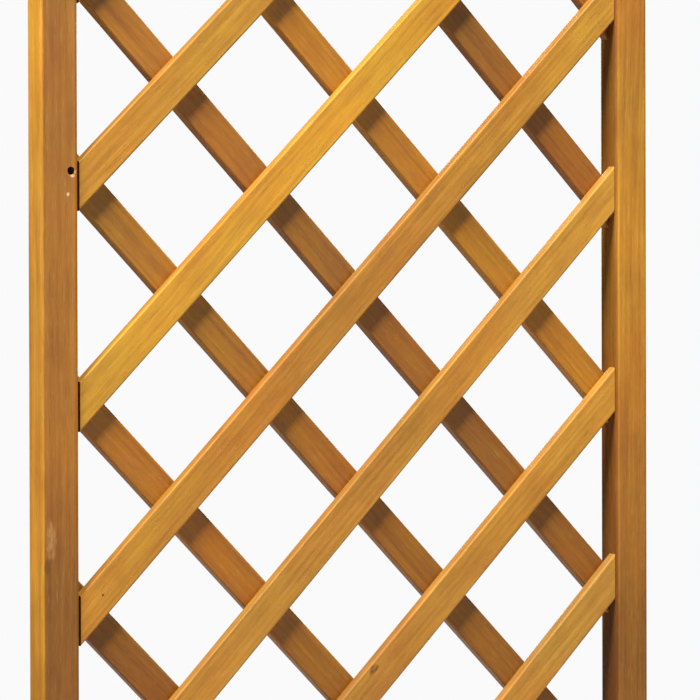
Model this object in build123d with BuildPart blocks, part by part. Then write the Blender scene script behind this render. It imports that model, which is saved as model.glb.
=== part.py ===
from build123d import *
import math
import os

os.makedirs("parts", exist_ok=True)

# Garden lattice panel: two uprights and two rails hold a diagonal lattice that is
# two slats deep.  Millimetres.  X runs across the panel, Y runs through it with the
# front at -Y, Z is up.  The origin is at the middle of the feet's underside.

# ---------------------------------------------------------------- driving dimensions
overall_height = 1500.0
opening_width = 480.0          # clear width between the uprights

upright_width = 30.0
upright_depth = 24.0
upright_round = 3.0            # rounding of the four long edges
upright_end_chamfer = 1.5

rail_height = 30.0
rail_round = 3.0
foot_height = 24.0             # uprights run on below the bottom rail

slat_width = 26.0
slat_thickness = 9.0
slat_recess = 3.0              # the lattice sits this far behind the frame's front
slat_round = 1.5               # eased long edges
slat_pitch = 156.0             # vertical distance between slats of one layer
slats_per_layer = 11

gap_left = 2.2                 # play between slat ends and the left upright
gap_right = 0.4
gap_rail = 1.5                 # play between slat ends and the rails

pin_diameter = 3.0             # hidden pins that hold the slat ends
pin_length = 24.0
staple_crown = 5.8
staple_wire = 1.0
staple_band = 1.2
staple_length = 16.0
dowel_diameter = 8.0
dowel_length = 40.0
screw_length = 60.0
screw_shank = 4.0
screw_head = 8.0
corner_offset = 7.0            # dowel above, screw below the rail's middle line

fixing_hole_diameter = 6.0     # screw hole through the left upright
fixing_hole_x = -opening_width / 2 - 6.0
fixing_hole_z = 851.0

# ---------------------------------------------------------------- derived positions
front_y = -upright_depth / 2 + slat_recess
mid_y = front_y + slat_thickness           # where the two layers touch
back_y = mid_y + slat_thickness
half_open = opening_width / 2
bottom_rail_z = foot_height + rail_height / 2
top_rail_z = overall_height - rail_height / 2
clear_low = foot_height + rail_height
clear_high = overall_height - rail_height
centre_z = (clear_low + clear_high) / 2
node_x = 1.5 * slat_pitch                  # the layers cross beside the uprights

# the rectangle that the slats are cut to
x_low, x_high = -half_open + gap_left, half_open - gap_right
z_low, z_high = clear_low + gap_rail, clear_high - gap_rail

# How far each slat sits from its nominal line where it meets the left and the right
# upright: a lattice that is set out and stapled by hand.  Slat 1 is the highest.
front_set_out = {4: (4.0, -2.8), 5: (-1.4, -0.8), 6: (-2.0, 0.1), 7: (-4.2, 1.6),
                 8: (1.8, -4.3), 9: (0.5, 0.4)}
back_set_out = {3: (0.0, -3.0), 4: (1.1, 0.6), 5: (-2.5, -1.8), 6: (3.4, 0.4),
                7: (5.3, 2.0), 8: (-1.5, -5.9), 9: (3.8, 2.1)}


def centre_line(layer, number):
    """Slope and height at x = 0 of a slat's centre line."""
    rise = 1 if layer == "front" else -1
    left, right = (front_set_out if layer == "front" else back_set_out).get(number, (0.0, 0.0))
    z_mid = centre_z + (6 - number) * slat_pitch
    z_left = z_mid - rise * node_x + left
    z_right = z_mid + rise * node_x + right
    return (z_right - z_left) / (2 * node_x), (z_left + z_right) / 2


def clip(points, inside, crossing):
    """Keep the side of a polygon where inside(point) holds."""
    kept = []
    for a, b in zip(points, points[1:] + points[:1]):
        if inside(a):
            kept.append(a)
        if inside(a) != inside(b):
            kept.append(crossing(a, b))
    return kept


def outline(layer, number):
    """The slat's face: a strip about its centre line, cut square with the frame."""
    slope, height = centre_line(layer, number)
    half = slat_width / 2 * math.hypot(1, slope)
    far = 900.0
    points = [(-far, -far * slope + height - half), (far, far * slope + height - half),
              (far, far * slope + height + half), (-far, -far * slope + height + half)]

    def at_x(limit):
        return lambda a, b: (limit, a[1] + (b[1] - a[1]) * (limit - a[0]) / (b[0] - a[0]))

    def at_z(limit):
        return lambda a, b: (a[0] + (b[0] - a[0]) * (limit - a[1]) / (b[1] - a[1]), limit)

    points = clip(points, lambda p: p[0] >= x_low, at_x(x_low))
    points = clip(points, lambda p: p[0] <= x_high, at_x(x_high))
    points = clip(points, lambda p: p[1] >= z_low, at_z(z_low))
    points = clip(points, lambda p: p[1] <= z_high, at_z(z_high))
    return points


def end_pins(layer, number):
    """Where the slat's two end pins stand, and which way each one lies."""
    points = outline(layer, number)
    y = front_y + slat_thickness / 2 if layer == "front" else mid_y + slat_thickness / 2
    pins = []
    for limit, axis, sign in ((x_low, 0, -1), (x_high, 0, 1), (z_low, 1, -1), (z_high, 1, 1)):
        cut = [p[1 - axis] for p in points if abs(p[axis] - limit) < 1e-6]
        # in a corner of the frame the pin goes into the upright, not into the rail
        if len(cut) < 2 or max(cut) - min(cut) < (12.0, 30.0)[axis]:
            continue
        middle = (max(cut) + min(cut)) / 2
        if axis == 0:
            if sign < 0 and abs(middle - fixing_hole_z) < 6.0:
                middle = fixing_hole_z - 6.0       # stays clear of the screw hole
            pins.append(("x", sign * half_open, y, middle))
        else:
            face = clear_low if sign < 0 else clear_high
            pins.append(("z", middle, y, face))
    return pins


numbers = range(1, slats_per_layer + 1)
pins_of = {(layer, n): end_pins(layer, n) for layer in ("front", "back") for n in numbers}
all_pins = [pin for pins in pins_of.values() for pin in pins]


def pin_location(pin):
    way, a, y, b = pin
    if way == "x":
        return Location((a, y, b), (0, 90, 0))
    return Location((a, y, b))


# ---------------------------------------------------------------- where the layers cross
staples_of = {}
all_staples = []
for i in numbers:
    slope_f, height_f = centre_line("front", i)
    for j in numbers:
        slope_b, height_b = centre_line("back", j)
        x = (height_b - height_f) / (slope_f - slope_b)
        z = slope_f * x + height_f
        if not (x_low < x < x_high and z_low < z < z_high):
            continue
        # a staple stays clear of a slat's sawn end and of the pin in it
        spot = (min(max(x, x_low + 12.5), x_high - 12.5), back_y, min(max(z, z_low + 10), z_high - 10))
        staples_of.setdefault(("front", i), []).append(spot)
        staples_of.setdefault(("back", j), []).append(spot)
        all_staples.append(spot)

# ---------------------------------------------------------------- fasteners
# One wire staple, its crown flush with the back of the lattice
with BuildPart() as staple:
    with BuildSketch(Plane.YZ.offset(-staple_band / 2)):
        with BuildLine():
            Polyline((0, -staple_crown / 2), (0, staple_crown / 2),
                     (-staple_length, staple_crown / 2),
                     (-staple_length, staple_crown / 2 - staple_wire),
                     (-staple_wire, staple_crown / 2 - staple_wire),
                     (-staple_wire, -staple_crown / 2 + staple_wire),
                     (-staple_length, -staple_crown / 2 + staple_wire),
                     (-staple_length, -staple_crown / 2), close=True)
        make_face()
    extrude(amount=staple_band)

with BuildPart() as crossing_staples:
    with Locations(*[Location(spot) for spot in all_staples]):
        add(staple.part)
crossing_staples.part.label = "crossing_staples"
export_step(crossing_staples.part, "parts/crossing_staples.step")

# Headless pins between the slat ends and the frame
with BuildPart() as slat_end_pins:
    with Locations(*[pin_location(pin) for pin in all_pins]):
        Cylinder(radius=pin_diameter / 2, height=pin_length)
slat_end_pins.part.label = "slat_end_pins"
export_step(slat_end_pins.part, "parts/slat_end_pins.step")

# One glued dowel in each corner of the frame
dowel_spots = [Location((side * half_open, 0, z + corner_offset), (0, 90, 0))
               for side in (-1, 1) for z in (bottom_rail_z, top_rail_z)]
with BuildPart() as dowel:
    Cylinder(radius=dowel_diameter / 2, height=dowel_length)
    chamfer(dowel.edges().filter_by(GeomType.CIRCLE), length=0.8)
with BuildPart() as corner_dowels:
    with Locations(*dowel_spots):
        add(dowel.part)
corner_dowels.part.label = "corner_dowels"
export_step(corner_dowels.part, "parts/corner_dowels.step")

# One countersunk cross-slot screw in each corner, driven from the outer side.
# The screw is drawn with its head's top at z = 0 and its point down.
with BuildPart() as screw:
    with BuildSketch(Plane.XZ):
        with BuildLine():
            Polyline((0, 0), (screw_head / 2, 0), (screw_head / 2, -0.4),
                     (screw_shank / 2, -0.4 - (screw_head - screw_shank) / 2),
                     (screw_shank / 2, -screw_length + 5), (0, -screw_length), close=True)
        make_face()
    revolve(axis=Axis.Z)
    with BuildSketch(Plane.XY):
        Rectangle(4.4, 0.9)
        Rectangle(0.9, 4.4)
    extrude(amount=-1.6, mode=Mode.SUBTRACT)
# the screw's own envelope, used to cut its seat
with BuildPart() as screw_seat:
    with BuildSketch(Plane.XZ):
        with BuildLine():
            Polyline((0, 0.5), (screw_head / 2, 0.5), (screw_head / 2, -0.4),
                     (screw_shank / 2, -0.4 - (screw_head - screw_shank) / 2),
                     (screw_shank / 2, -screw_length + 5), (0, -screw_length), close=True)
        make_face()
    revolve(axis=Axis.Z)
screw_spots = [Location((side * (half_open + upright_width - 0.5), 0, z - corner_offset),
                        (0, 90 * side, 0))
               for side in (-1, 1) for z in (bottom_rail_z, top_rail_z)]
with BuildPart() as corner_screws:
    with Locations(*screw_spots):
        add(screw.part)
corner_screws.part.label = "corner_screws"
export_step(corner_screws.part, "parts/corner_screws.step")

# ---------------------------------------------------------------- uprights
for side, name in ((-1, "upright_left"), (1, "upright_right")):
    middle_x = side * (half_open + upright_width / 2)
    own_pins = [pin for pin in all_pins if pin[0] == "x" and pin[1] * side > 0]
    with BuildPart() as upright:
        with BuildSketch(Plane.XY):
            with Locations((middle_x, 0)):
                RectangleRounded(upright_width, upright_depth, upright_round)
        extrude(amount=overall_height)
        chamfer(upright.faces().filter_by(Axis.Z).edges(), length=upright_end_chamfer)
        with Locations(*[pin_location(pin) for pin in own_pins]):
            Cylinder(radius=pin_diameter / 2, height=pin_length, mode=Mode.SUBTRACT)
        with Locations(*[spot for spot in dowel_spots if spot.position.X * side > 0]):
            add(dowel.part, mode=Mode.SUBTRACT)
        with Locations(*[spot for spot in screw_spots if spot.position.X * side > 0]):
            add(screw_seat.part, mode=Mode.SUBTRACT)
        if side < 0:
            with Locations(Location((fixing_hole_x, 0, fixing_hole_z), (90, 0, 0))):
                Cylinder(radius=fixing_hole_diameter / 2, height=upright_depth + 10,
                         mode=Mode.SUBTRACT)
    upright.part.label = name
    export_step(upright.part, f"parts/{name}.step")

# ---------------------------------------------------------------- rails
for middle_z, name in ((bottom_rail_z, "bottom_rail"), (top_rail_z, "top_rail")):
    own_pins = [pin for pin in all_pins if pin[0] == "z" and abs(pin[3] - middle_z) < 30]
    with BuildPart() as rail:
        with BuildSketch(Plane.YZ.offset(-half_open)):
            with Locations((0, middle_z)):
                RectangleRounded(upright_depth, rail_height, rail_round)
        extrude(amount=opening_width)
        with Locations(*[pin_location(pin) for pin in own_pins]):
            Cylinder(radius=pin_diameter / 2, height=pin_length, mode=Mode.SUBTRACT)
        with Locations(*[s for s in dowel_spots if abs(s.position.Z - middle_z) < 20]):
            add(dowel.part, mode=Mode.SUBTRACT)
        with Locations(*[s for s in screw_spots if abs(s.position.Z - middle_z) < 20]):
            add(screw_seat.part, mode=Mode.SUBTRACT)
    rail.part.label = name
    export_step(rail.part, f"parts/{name}.step")

# ---------------------------------------------------------------- slats
for layer, face_y in (("front", mid_y), ("back", back_y)):
    for number in numbers:
        slope, height = centre_line(layer, number)
        along = Axis((0, 0, 0), (1, 0, slope))
        with BuildPart() as slat:
            # the sketch lies on the slat's rear face and is extruded towards the front
            with BuildSketch(Plane.XZ.offset(-face_y)):
                with BuildLine():
                    Polyline(*outline(layer, number), close=True)
                make_face()
            extrude(amount=slat_thickness)
            fillet(slat.edges().filter_by(along), radius=slat_round)
            with Locations(*[Location(spot) for spot in staples_of[(layer, number)]]):
                add(staple.part, mode=Mode.SUBTRACT)
            with Locations(*[pin_location(pin) for pin in pins_of[(layer, number)]]):
                Cylinder(radius=pin_diameter / 2, height=pin_length, mode=Mode.SUBTRACT)
        slat.part.label = f"{layer}_slat_{number:02d}"
        export_step(slat.part, f"parts/{layer}_slat_{number:02d}.step")

print("staples", len(all_staples), "pins", len(all_pins))
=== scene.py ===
import math
import random

import bpy
from mathutils import Matrix, Vector


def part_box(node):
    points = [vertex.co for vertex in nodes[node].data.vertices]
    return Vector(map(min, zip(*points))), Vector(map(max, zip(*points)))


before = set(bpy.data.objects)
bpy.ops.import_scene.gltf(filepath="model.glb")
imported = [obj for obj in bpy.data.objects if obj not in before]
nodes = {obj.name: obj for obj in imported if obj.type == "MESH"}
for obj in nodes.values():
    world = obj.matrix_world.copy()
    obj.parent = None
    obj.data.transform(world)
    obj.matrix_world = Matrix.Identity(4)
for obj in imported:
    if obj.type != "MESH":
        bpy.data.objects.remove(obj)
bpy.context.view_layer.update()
scene = bpy.context.scene
scene.view_settings.view_transform = "Standard"
scene.view_settings.look = "None"
scene.view_settings.exposure = 0.0
scene.view_settings.gamma = 1.0


# ------------------------------------------------------------------ node helpers
class Net:
    """Short names for building one material's node tree."""

    def __init__(self, name):
        self.mat = bpy.data.materials.new(name)
        self.mat.use_nodes = True
        self.tree = self.mat.node_tree
        self.tree.nodes.clear()
        self.out = self.tree.nodes.new("ShaderNodeOutputMaterial")
        self.bsdf = self.tree.nodes.new("ShaderNodeBsdfPrincipled")
        self.link(self.bsdf.outputs["BSDF"], self.out.inputs["Surface"])

    def link(self, a, b):
        self.tree.links.new(a, b)

    def node(self, kind, **props):
        n = self.tree.nodes.new(kind)
        for k, v in props.items():
            setattr(n, k, v)
        return n

    def set(self, socket, value):
        if isinstance(value, bpy.types.NodeSocket):
            self.link(value, socket)
        else:
            socket.default_value = value

    def math(self, op, a, b=0.0, c=0.0, clamp=False):
        n = self.node("ShaderNodeMath", operation=op, use_clamp=clamp)
        for s, v in zip(n.inputs, (a, b, c)):
            self.set(s, v)
        return n.outputs[0]

    def vmath(self, op, a, b=(0, 0, 0)):
        n = self.node("ShaderNodeVectorMath", operation=op)
        self.set(n.inputs[0], a)
        if op not in ("LENGTH", "NORMALIZE", "ABSOLUTE"):
            self.set(n.inputs[3] if op == "SCALE" else n.inputs[1], b)
        return n.outputs["Value"] if op in ("LENGTH", "DOT_PRODUCT", "DISTANCE") else n.outputs[0]

    def noise(self, vector, scale=1.0, detail=2.0, rough=0.5, distortion=0.0, colour=False):
        n = self.node("ShaderNodeTexNoise", noise_dimensions="3D")
        self.set(n.inputs["Vector"], vector)
        n.inputs["Scale"].default_value = scale
        n.inputs["Detail"].default_value = detail
        n.inputs["Roughness"].default_value = rough
        n.inputs["Distortion"].default_value = distortion
        return n.outputs["Color" if colour else "Fac"]

    def range(self, value, a, b, c=0.0, d=1.0, smooth=False):
        n = self.node("ShaderNodeMapRange", clamp=True)
        n.interpolation_type = "SMOOTHSTEP" if smooth else "LINEAR"
        self.set(n.inputs["Value"], value)
        for k, v in zip(("From Min", "From Max", "To Min", "To Max"), (a, b, c, d)):
            n.inputs[k].default_value = v
        return n.outputs["Result"]

    def ramp(self, value, stops, mode="LINEAR"):
        n = self.node("ShaderNodeValToRGB")
        n.color_ramp.interpolation = mode
        while len(n.color_ramp.elements) < len(stops):
            n.color_ramp.elements.new(0.5)
        for e, (at, colour) in zip(n.color_ramp.elements, stops):
            e.position = at
        for e, (at, colour) in zip(n.color_ramp.elements, stops):
            e.color = (*colour, 1)
        self.set(n.inputs["Fac"], value)
        return n.outputs["Color"]

    def mix(self, factor, a, b, blend="MIX"):
        n = self.node("ShaderNodeMix", data_type="RGBA", blend_type=blend)
        self.set(n.inputs[0], factor)
        for s, v in ((n.inputs[6], a), (n.inputs[7], b)):
            self.set(s, (*v, 1) if isinstance(v, tuple) else v)
        return n.outputs[2]

    def bump(self, height, distance, strength=1.0, normal=None):
        n = self.node("ShaderNodeBump")
        n.inputs["Strength"].default_value = strength
        n.inputs["Distance"].default_value = distance
        self.set(n.inputs["Height"], height)
        if normal is not None:
            self.link(normal, n.inputs["Normal"])
        return n.outputs["Normal"]


def lin(r, g, b):
    """A display colour, 0 to 255, as linear light."""
    return tuple(c / 255 / 12.92 if c <= 10.3 else ((c / 255 + 0.055) / 1.055) ** 2.4 for c in (r, g, b))


# ------------------------------------------------------------------ oiled hardwood
def wood(name, slope_angle, span, stops, seed, spots=(), painted_face_tones=None, streak=1.0, painted_edge_shade=None):
    """One member's own board.  slope_angle turns the member's length on to local x,
    span is where it starts and ends along that x, stops are its tones along the length.
    spots are knots, patches and filled nail holes: (centre, half length, half width, colour, strength)."""
    rnd = random.Random(seed)
    n = Net(name)
    tc = n.node("ShaderNodeTexCoord")
    turn = n.node("ShaderNodeMapping")
    turn.vector_type = "POINT"
    turn.inputs["Rotation"].default_value = (0, slope_angle, 0)
    n.link(tc.outputs["Object"], turn.inputs["Vector"])
    p = turn.outputs[0]
    sep = n.node("ShaderNodeSeparateXYZ")
    n.link(p, sep.inputs[0])
    along = sep.outputs["X"]

    offset = tuple(rnd.uniform(-3, 3) for _ in range(3))
    q = n.vmath("ADD", p, offset)
    # the grain wanders a little off the board's axis
    wander = n.vmath("SUBTRACT", n.noise(q, scale=2.6, detail=1.0, colour=True), (0.5, 0.5, 0.5))
    q = n.vmath("ADD", q, n.vmath("MULTIPLY", wander, (0.0, 0.016, 0.016)))
    for centre, half_l, half_w, colour, strength in spots:
        # grain bends round a knot
        away = n.vmath("SUBTRACT", p, centre)
        d = n.vmath("LENGTH", n.vmath("MULTIPLY", away, (1 / (half_l * 2.2), 1 / (half_w * 2.2), 1 / (half_w * 2.2))))
        bend = n.range(d, 0.0, 1.0, 0.004 if strength > 0 else 0.0, 0.0, smooth=True)
        q = n.vmath("ADD", q, n.vmath("SCALE", n.vmath("MULTIPLY", away, (0, 60, 60)), bend))

    broad = n.noise(n.vmath("MULTIPLY", q, (3.2, 70, 70)), detail=3.0, rough=0.55)
    fine = n.noise(n.vmath("MULTIPLY", q, (11, 330, 330)), detail=3.0, rough=0.6)
    fleck = n.noise(n.vmath("MULTIPLY", q, (95, 1150, 1150)), detail=2.0, rough=0.55)
    pore = n.noise(n.vmath("MULTIPLY", n.vmath("ADD", q, (1.7, 0.3, 0.9)), (60, 1700, 1700)), detail=1.0)
    mottle = n.noise(n.vmath("MULTIPLY", q, (30, 55, 55)), detail=3.0, rough=0.6)
    cloud = n.noise(n.vmath("MULTIPLY", q, (9, 16, 16)), detail=2.0)
    # growth rings about a heart well outside the board
    heart = (0, rnd.uniform(-0.08, 0.08) + offset[1], rnd.choice((-1, 1)) * rnd.uniform(0.05, 0.12) + offset[2])
    ring_r = n.vmath("LENGTH", n.vmath("MULTIPLY", n.vmath("SUBTRACT", q, heart), (0.02, 1, 1)))
    ring = n.math("SINE", n.math("ADD", n.math("MULTIPLY", ring_r, 2 * math.pi / rnd.uniform(0.0042, 0.0068)),
                                 n.math("MULTIPLY", broad, 7.0)))

    base = n.ramp(n.range(along, span[0], span[1]), stops)
    if painted_face_tones is not None:
        # one long face has tones of its own, used as painted light on the left post's outer face and painted shade on
        # the right post's inner face: (local axis, where they start, where they are full, stops)
        axis, a, b, painted_face_stops = painted_face_tones
        where = n.range(n.math("ADD", sep.outputs[axis], n.math("MULTIPLY", mottle, 0.0006)), a, b, smooth=True)
        base = n.mix(where, base, n.ramp(n.range(along, span[0], span[1]), painted_face_stops))
    c = n.mix(1.0, base, n.ramp(n.range(broad, 0.30, 0.70), (
        (0.0, (0.88, 0.83, 0.78)), (0.35, (0.97, 0.96, 0.94)), (0.7, (1.02, 1.03, 1.02)), (1.0, (1.07, 1.10, 1.10)))), "MULTIPLY")
    c = n.mix(1.0 * streak, c, n.ramp(n.range(fine, 0.28, 0.72), (
        (0.0, (0.83, 0.78, 0.72)), (0.5, (1.0, 1.0, 1.0)), (1.0, (1.10, 1.13, 1.14)))), "MULTIPLY")
    c = n.mix(0.85, c, n.ramp(n.range(mottle, 0.3, 0.7), (
        (0.0, (0.90, 0.84, 0.78)), (0.5, (1.0, 1.0, 1.0)), (1.0, (1.07, 1.10, 1.02)))), "MULTIPLY")
    # reddish and olive clouds
    c = n.mix(0.8, c, n.ramp(n.range(cloud, 0.32, 0.68), (
        (0.0, (1.06, 0.94, 0.86)), (0.5, (1.0, 1.0, 1.0)), (1.0, (0.95, 1.04, 0.98)))), "MULTIPLY")
    c = n.mix(0.55, c, n.ramp(n.range(ring, -1.0, 1.0), (
        (0.0, (0.91, 0.87, 0.83)), (0.45, (1.0, 1.0, 1.0)), (1.0, (1.05, 1.06, 1.06)))), "MULTIPLY")
    c = n.mix(n.range(fleck, 0.56, 0.74, 0.0, 0.20), c, (0.17, 0.075, 0.02))
    c = n.mix(n.range(fleck, 0.42, 0.26, 0.0, 0.07), c, (0.95, 0.68, 0.33))
    c = n.mix(n.range(pore, 0.66, 0.76, 0.0, 0.22), c, (0.10, 0.045, 0.014))

    dimple = None
    for centre, half_l, half_w, colour, strength in spots:
        away = n.vmath("SUBTRACT", p, centre)
        d = n.vmath("LENGTH", n.vmath("MULTIPLY", away, (1 / half_l, 1 / half_w, 1 / half_w)))
        d = n.math("ADD", d, n.math("MULTIPLY", n.math("SUBTRACT", n.noise(n.vmath("MULTIPLY", p, (160, 420, 420)), detail=3.0), 0.5), 0.9))
        mask = n.range(d, 1.0, 0.55, 0.0, abs(strength), smooth=True)
        if half_w > 0.003:
            mask = n.math("MULTIPLY", mask, n.range(n.noise(n.vmath("MULTIPLY", p, (230, 620, 620)), detail=2.0), 0.34, 0.6, 0.35, 1.0))
        c = n.mix(mask, c, colour)
        dimple = mask if dimple is None else n.math("MAXIMUM", dimple, mask)

    # sawn end grain is darker and drinks the oil
    facing = n.math("ABSOLUTE", n.vmath("DOT_PRODUCT", tc.outputs["Normal"],
                                        (math.cos(slope_angle), 0.0, math.sin(slope_angle))))
    end = n.range(facing, 0.45, 0.62, 0.0, 1.0)
    speck = n.noise(n.vmath("MULTIPLY", q, (900, 900, 900)), detail=2.0)
    end_c = n.mix(1.0, c, n.ramp(n.range(speck, 0.35, 0.65), ((0.0, (0.38, 0.32, 0.28)), (1.0, (0.72, 0.64, 0.56)))), "MULTIPLY")
    c = n.mix(end, c, end_c)
    if painted_edge_shade is not None:
        # a correction for the light, not a property of the wood: the high key
        # light makes the slats' upper edges too bright, so they are toned down
        upper = n.vmath("DOT_PRODUCT", tc.outputs["Normal"], (-math.sin(slope_angle), 0.0, math.cos(slope_angle)))
        c = n.mix(n.range(upper, 0.45, 0.85), c, n.mix(1.0, c, painted_edge_shade, "MULTIPLY"))
    n.link(c, n.bsdf.inputs["Base Color"])

    rough = n.math("ADD", n.range(fine, 0.3, 0.7, 0.40, 0.54), n.range(mottle, 0.3, 0.7, -0.04, 0.06))
    rough = n.math("ADD", rough, n.math("MULTIPLY", end, 0.22))
    n.link(rough, n.bsdf.inputs["Roughness"])
    n.bsdf.inputs["Specular IOR Level"].default_value = 0.30
    n.bsdf.inputs["IOR"].default_value = 1.47

    h = n.math("ADD", n.math("MULTIPLY", fine, 0.55), n.math("MULTIPLY", fleck, -0.35))
    h = n.math("ADD", h, n.math("MULTIPLY", n.range(pore, 0.64, 0.72), -0.5))
    nrm = n.bump(h, 0.00022, 0.7)
    swell = n.noise(n.vmath("MULTIPLY", q, (16, 60, 60)), detail=1.0)
    nrm = n.bump(swell, 0.0011, 0.6, nrm)
    n.link(nrm, n.bsdf.inputs["Normal"])
    return n.mat


def give(node, material):
    o = nodes[node]
    o.data.materials.clear()
    o.data.materials.append(material)
    for poly in o.data.polygons:
        poly.material_index = 0


# Tones along each board: partly the boards' own spread from honey to red-brown, partly painted shade where the light
# falls off lower down.
FRONT_SLAT_TONES_WITH_SHADE = {
    1: ((206, 146, 60), (198, 136, 56), (204, 144, 60)),
    2: ((200, 138, 58), (210, 150, 62), (202, 140, 58)),
    3: ((208, 148, 58), (196, 134, 54), (206, 146, 60)),
    4: ((202, 142, 58), (202, 143, 60), (206, 148, 60)),
    5: ((214, 152, 59), (220, 160, 58), (208, 142, 50)),
    6: ((207, 143, 57), (186, 122, 54), (208, 147, 60)),
    7: ((198, 141, 64), (194, 133, 60), (211, 152, 68)),
    8: ((189, 129, 60), (185, 125, 60), (212, 149, 62)),
    9: ((190, 134, 62), (196, 140, 66), (194, 138, 68)),
    10: ((196, 136, 58), (188, 126, 54), (200, 142, 60)),
    11: ((204, 144, 60), (198, 140, 58), (194, 132, 56)),
}
BACK_SLAT_TONES_WITH_SHADE = {
    1: ((176, 114, 52), (170, 108, 48), (178, 118, 54)),
    2: ((168, 106, 46), (180, 120, 54), (172, 110, 48)),
    3: ((184, 122, 54), (172, 112, 50), (166, 104, 46)),
    4: ((188, 124, 56), (164, 106, 52), (166, 104, 48)),
    5: ((218, 153, 57), (191, 127, 52), (193, 131, 47)),
    6: ((190, 126, 61), (164, 104, 52), (158, 98, 41)),
    7: ((188, 126, 54), (170, 108, 44), (150, 98, 42)),
    8: ((195, 127, 50), (164, 104, 40), (168, 106, 44)),
    9: ((154, 96, 38), (160, 102, 44), (166, 108, 48)),
    10: ((172, 112, 50), (166, 104, 46), (174, 114, 50)),
    11: ((178, 118, 52), (170, 108, 48), (166, 106, 46)),
}
FRONT_GAIN = (0.76, 0.745, 0.42)
BACK_GAIN = (0.72, 0.68, 0.29)


def tones(levels, gain, at=None):
    at = at or [i / (len(levels) - 1) for i in range(len(levels))]
    return [(t, tuple(min(1.0, v * g) for v, g in zip(lin(*c), gain))) for t, c in zip(at, levels)]


def local(angle, x, y, z):
    """A point of the row frame in a member's turned coordinates."""
    return (x * math.cos(angle) + z * math.sin(angle), y, -x * math.sin(angle) + z * math.cos(angle))


def slat_angle(node, rising):
    """A slat's true slope, from the ends of its box."""
    lo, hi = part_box(node)
    run, rise = hi.x - lo.x, hi.z - lo.z
    # the box is taller than the centre line by the slat's vertical width
    a = math.pi / 4
    for _ in range(6):
        a = math.atan2(rise - 0.026 / math.cos(a), run) if run > 0.45 else math.pi / 4
    return a if rising else -a


DARK_KNOT = lin(70, 38, 18)
seed = 11
for layer, levels, gain, rising in (("front", FRONT_SLAT_TONES_WITH_SHADE, FRONT_GAIN, True), ("back", BACK_SLAT_TONES_WITH_SHADE, BACK_GAIN, False)):
    for k in range(1, 12):
        node = f"{layer}_slat_{k:02d}"
        lo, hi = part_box(node)
        angle = slat_angle(node, rising)
        ends = sorted((local(angle, lo.x, 0, lo.z if rising else hi.z)[0],
                       local(angle, hi.x, 0, hi.z if rising else lo.z)[0]))
        spots = []
        if node == "front_slat_06":
            spots.append((local(angle, -0.2199, -0.009, 0.5405), 0.0012, 0.0010, DARK_KNOT, 0.95))
        if node == "front_slat_08":
            spots.append((local(angle, 0.0119, -0.009, 0.4727), 0.0060, 0.0032, DARK_KNOT, 0.8))
        if node == "back_slat_03":
            spots.append((local(angle, 0.05, 0.000, 1.18), 0.008, 0.004, DARK_KNOT, 0.7))
        if node == "front_slat_02":
            spots.append((local(angle, -0.10, -0.009, 1.29), 0.006, 0.004, DARK_KNOT, 0.7))
        give(node, wood("wood_" + node, angle, ends, tones(levels[k], gain), seed + k + (40 if layer == "back" else 0), spots,
                        # painted shade: this colour darkens the slats' upper edges against the high key light
                        painted_edge_shade=(0.66, 0.67, 0.90)))

up = math.pi / 2
# Tones up each post: partly the wood's own, partly painted shade, darker below about 0.65 m where the light falls
# off.
LEFT_POST_TONES_WITH_SHADE = [(150, 98, 44), (146, 92, 43), (150, 97, 46), (176, 115, 51), (176, 115, 57), (176, 117, 63), (174, 114, 58), (168, 110, 50)]
RIGHT_POST_TONES_WITH_SHADE = [(160, 104, 48), (143, 92, 42), (168, 111, 48), (178, 117, 49), (204, 144, 55), (187, 127, 55), (190, 130, 56), (180, 120, 52)]
# painted light: the left post's outer face gets a lighter, more golden tone than its front, where the left lamp
# falls; lower down it carries the posts' painted shade too
LEFT_OUTER_FACE_LIGHT_AND_SHADE = [(190, 130, 52), (194, 131, 52), (206, 143, 58), (200, 138, 58), (204, 140, 60), (220, 153, 60), (214, 148, 60), (206, 142, 58)]
AT = [0.0, 0.32, 0.37, 0.43, 0.54, 0.64, 0.80, 1.0]
POST_GAIN = (0.74, 0.68, 0.36)
give("upright_left", wood("wood_upright_left", up, (0.0, 1.5), tones(LEFT_POST_TONES_WITH_SHADE, POST_GAIN, AT), 101, spots=[
    (local(up, -0.2628, -0.012, 0.5815), 0.016, 0.0050, lin(196, 150, 92), 0.42),
    (local(up, -0.2485, -0.012, 0.8337), 0.0017, 0.0015, lin(222, 182, 140), 0.8),
    (local(up, -0.2446, -0.012, 0.8474), 0.0014, 0.0024, lin(236, 190, 160), 0.75),
    (local(up, -0.2425, -0.012, 0.8500), 0.0020, 0.0009, lin(226, 176, 140), 0.55),
    (local(up, -0.2660, -0.012, 0.5630), 0.0070, 0.0028, DARK_KNOT, 0.38),
# painted light on the left post's outer face
], painted_face_tones=("Z", 0.2676, 0.2690, tones(LEFT_OUTER_FACE_LIGHT_AND_SHADE, (0.78, 0.77, 0.55), AT))))
give("upright_right", wood("wood_upright_right", up, (0.0, 1.5), tones(RIGHT_POST_TONES_WITH_SHADE, (0.795, 0.75, 0.385), AT), 131, spots=[
    (local(up, 0.262, 0.012, 1.12), 0.012, 0.0055, DARK_KNOT, 0.6)],
    # another correction for the light: the inner face is held to about half the front's tone
    painted_face_tones=("Z", -0.2413, -0.2403, tones(RIGHT_POST_TONES_WITH_SHADE, (0.44, 0.37, 0.22), AT))))
give("bottom_rail", wood("wood_bottom_rail", 0.0, (-0.24, 0.24), tones(((176, 116, 54), (168, 108, 50), (180, 120, 56)), POST_GAIN), 151))
give("top_rail", wood("wood_top_rail", 0.0, (-0.24, 0.24), tones(((184, 124, 56), (176, 114, 52), (186, 128, 58)), POST_GAIN), 171))


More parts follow.
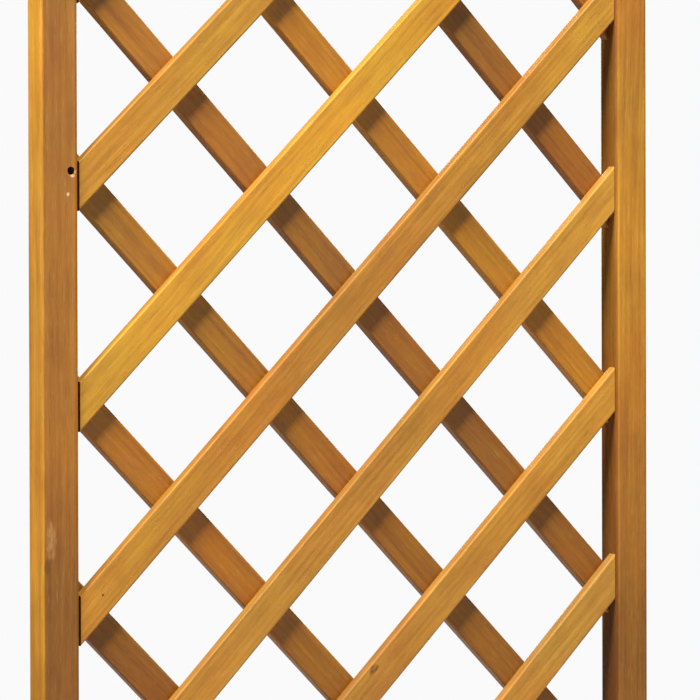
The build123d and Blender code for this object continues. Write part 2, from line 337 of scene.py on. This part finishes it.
def plain_wood(name, colour):
    """Pale beech for the dowels and pins."""
    n = Net(name)
    tc = n.node("ShaderNodeTexCoord")
    g = n.noise(n.vmath("MULTIPLY", tc.outputs["Object"], (120, 900, 900)), detail=3.0)
    n.link(n.mix(1.0, colour, n.ramp(n.range(g, 0.3, 0.7), ((0.0, (0.78, 0.72, 0.66)), (1.0, (1.08, 1.06, 1.02)))), "MULTIPLY"),
           n.bsdf.inputs["Base Color"])
    n.link(n.range(g, 0.3, 0.7, 0.55, 0.72), n.bsdf.inputs["Roughness"])
    n.link(n.bump(g, 0.0002, 0.5), n.bsdf.inputs["Normal"])
    return n.mat


def zinc(name):
    """Zinc-plated steel with fine drawing marks and dull patches."""
    n = Net(name)
    tc = n.node("ShaderNodeTexCoord")
    marks = n.noise(n.vmath("MULTIPLY", tc.outputs["Object"], (2600, 500, 2600)), detail=2.0)
    patch = n.noise(tc.outputs["Object"], scale=380, detail=3.0)
    n.link(n.ramp(n.range(patch, 0.3, 0.7), ((0.0, (0.44, 0.43, 0.40)), (1.0, (0.66, 0.66, 0.65)))), n.bsdf.inputs["Base Color"])
    n.bsdf.inputs["Metallic"].default_value = 1.0
    n.link(n.range(marks, 0.3, 0.7, 0.28, 0.48), n.bsdf.inputs["Roughness"])
    n.link(n.bump(marks, 0.00005, 0.4), n.bsdf.inputs["Normal"])
    return n.mat


give("slat_end_pins", plain_wood("stained_pins", (0.10, 0.055, 0.025)))
give("corner_dowels", plain_wood("beech_dowels", (0.60, 0.42, 0.24)))
give("crossing_staples", zinc("zinc_staples"))
give("corner_screws", zinc("zinc_screws"))

# ------------------------------------------------------------------ floor
bpy.ops.mesh.primitive_circle_add(vertices=128, radius=1.3, fill_type="NGON", location=(0, 0, 0))
floor = bpy.context.object
floor.name = "studio_floor"
n = Net("pale_floor")
tc = n.node("ShaderNodeTexCoord")
grain = n.noise(tc.outputs["Object"], scale=40, detail=4.0)
n.link(n.ramp(grain, ((0.3, (0.40, 0.40, 0.395)), (0.7, (0.43, 0.43, 0.425)))), n.bsdf.inputs["Base Color"])
n.bsdf.inputs["Roughness"].default_value = 0.85
n.bsdf.inputs["Specular IOR Level"].default_value = 0.1
floor.data.materials.append(n.mat)

# ------------------------------------------------------------------ light
def softbox(name, at, aim, size, watts, shape="SQUARE", colour=(1, 1, 1)):
    data = bpy.data.lights.new(name, "AREA")
    data.shape = shape
    data.size = size
    data.energy = watts
    data.color = colour
    lamp = bpy.data.objects.new(name, data)
    lamp.location = at
    lamp.visible_camera = False
    lamp.rotation_euler = (Vector(aim) - Vector(at)).to_track_quat("-Z", "Y").to_euler()
    scene.collection.objects.link(lamp)


softbox("key_high", (0.22, -1.25, 5.00), (0.0, 0.0, 0.74), 0.50, 415.0, "DISK", (1.0, 0.985, 0.95))
softbox("left_box", (-2.30, -0.62, 2.95), (0.0, 0.0, 0.74), 0.90, 172.0)
softbox("front_fill", (1.40, -3.20, 0.95), (0.0, 0.0, 0.74), 1.8, 24.0, "SQUARE", (0.88, 0.95, 1.0))
softbox("back_box", (1.90, 3.00, 1.70), (0.0, 0.0, 0.74), 1.8, 115.0)

world = bpy.data.worlds.new("studio")
scene.world = world
world.use_nodes = True
wt = world.node_tree
wt.nodes.clear()
w_out = wt.nodes.new("ShaderNodeOutputWorld")
soft = wt.nodes.new("ShaderNodeBackground")
soft.inputs["Color"].default_value = (0.88, 0.95, 1.0, 1)
soft.inputs["Strength"].default_value = 0.06
seen = wt.nodes.new("ShaderNodeBackground")
seen.inputs["Color"].default_value = (0.955, 0.955, 0.955, 1)
seen.inputs["Strength"].default_value = 1.0
pick = wt.nodes.new("ShaderNodeMixShader")
path = wt.nodes.new("ShaderNodeLightPath")
wt.links.new(path.outputs["Is Camera Ray"], pick.inputs[0])
wt.links.new(soft.outputs[0], pick.inputs[1])
wt.links.new(seen.outputs[0], pick.inputs[2])
wt.links.new(pick.outputs[0], w_out.inputs["Surface"])

# ------------------------------------------------------------------ camera
yaw, pitch, roll = (math.radians(a) for a in (30.55, -0.446, -0.158))
fwd = Vector((math.sin(yaw) * math.cos(pitch), math.cos(yaw) * math.cos(pitch), math.sin(pitch)))
right = Vector((math.cos(yaw), -math.sin(yaw), 0.0))
upv = right.cross(fwd)
r2 = math.cos(roll) * right + math.sin(roll) * upv
u2 = -math.sin(roll) * right + math.cos(roll) * upv
cam = bpy.data.cameras.new("camera")
cam.sensor_width = 36.0
cam.lens = 36.0 * 3120.0 / 700.0
cam.clip_start, cam.clip_end = 0.1, 200.0
cam_o = bpy.data.objects.new("camera", cam)
cam_o.matrix_world = Matrix((
    (r2.x, u2.x, -fwd.x, -1.2263),
    (r2.y, u2.y, -fwd.y, -2.0717),
    (r2.z, u2.z, -fwd.z, 0.7376),
    (0, 0, 0, 1)))
scene.collection.objects.link(cam_o)
scene.camera = cam_o
